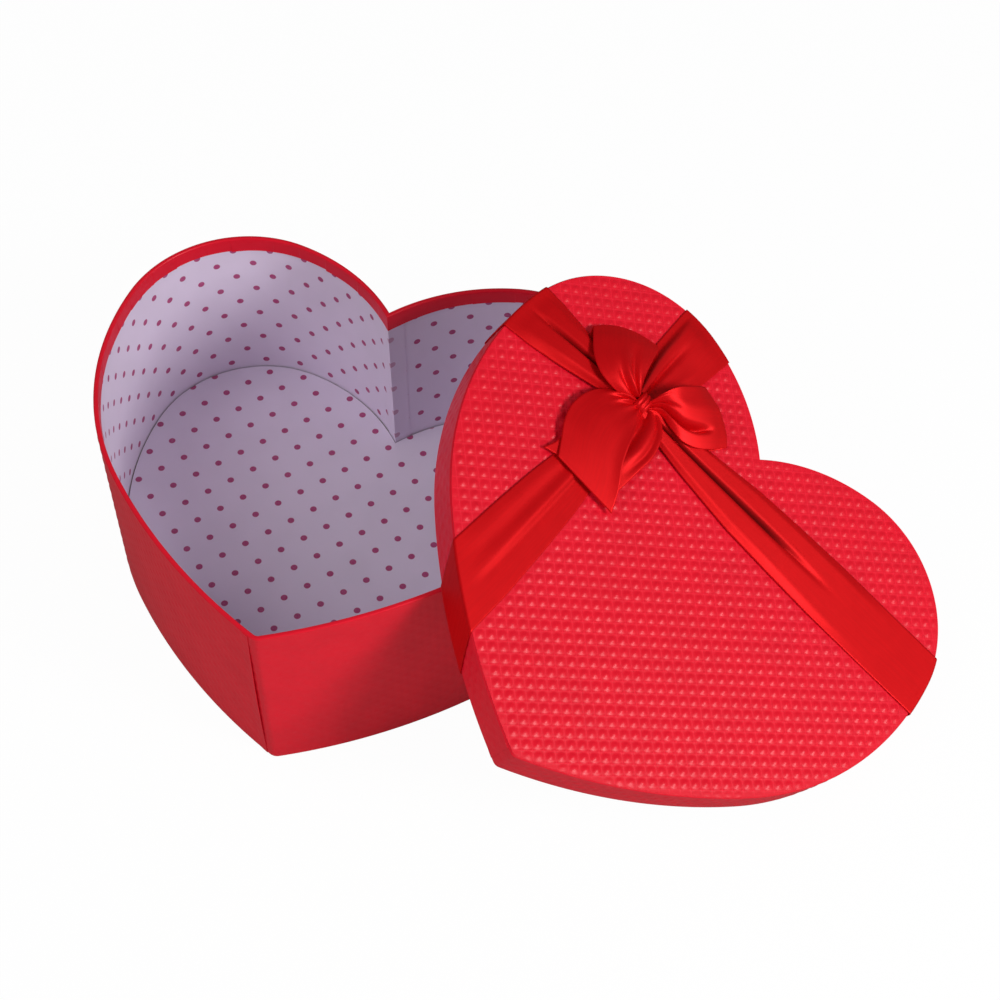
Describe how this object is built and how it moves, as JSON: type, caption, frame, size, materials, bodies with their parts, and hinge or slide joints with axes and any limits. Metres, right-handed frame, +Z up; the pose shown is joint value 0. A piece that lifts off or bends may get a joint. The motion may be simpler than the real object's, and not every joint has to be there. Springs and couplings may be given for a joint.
{
  "type": "heart gift box",
  "caption": "Heart-shaped rigid gift box covered in embossed red paper, lined with dotted paper, its ribbon-tied lid taken off and leaning on the wall.",
  "frame": {"origin": "underside of the box, on the heart's axis, midway between the centres of the two lobes", "axes": "+Z up, -Y from the lobes to the heart's point, +X towards the leaning lid"},
  "size_m": [0.4742, 0.2808, 0.163],
  "materials": {
    "embossed_red_paper": "embossed, semi-gloss",
    "bottom_paper": "plain, matt",
    "dotted_lining_paper": "matt, printed with small dots",
    "kraft_tape": "matt",
    "grey_board": "matt",
    "satin_ribbon": "satin"
  },
  "bodies": {
    "box": {"base_bottom_board": "grey_board", "base_left_wall": "grey_board", "base_right_wall": "grey_board", "base_point_tape": "kraft_tape", "base_notch_tape": "kraft_tape", "base_wrap": "embossed_red_paper", "base_bottom_sheet": "bottom_paper", "base_wall_lining": "dotted_lining_paper", "floor_pad_board": "grey_board", "floor_pad_paper": "dotted_lining_paper"},
    "lid": {"lid_top_board": "grey_board", "lid_left_wall": "grey_board", "lid_right_wall": "grey_board", "lid_point_tape": "kraft_tape", "lid_notch_tape": "kraft_tape", "lid_side_wrap": "embossed_red_paper", "lid_top_sheet": "embossed_red_paper", "lid_lining": "dotted_lining_paper", "ribbon_across": "satin_ribbon", "ribbon_down": "satin_ribbon", "bow_knot": "satin_ribbon", "bow_left_loop": "satin_ribbon", "bow_right_loop": "satin_ribbon", "bow_front_tail": "satin_ribbon", "bow_back_tail": "satin_ribbon"}
  },
  "joints": [
    {"name": "lid_lift", "type": "slide", "parent": "box", "child": "lid", "axis": [0, 0, 1], "range_m": [0, 0.12]}
  ]
}
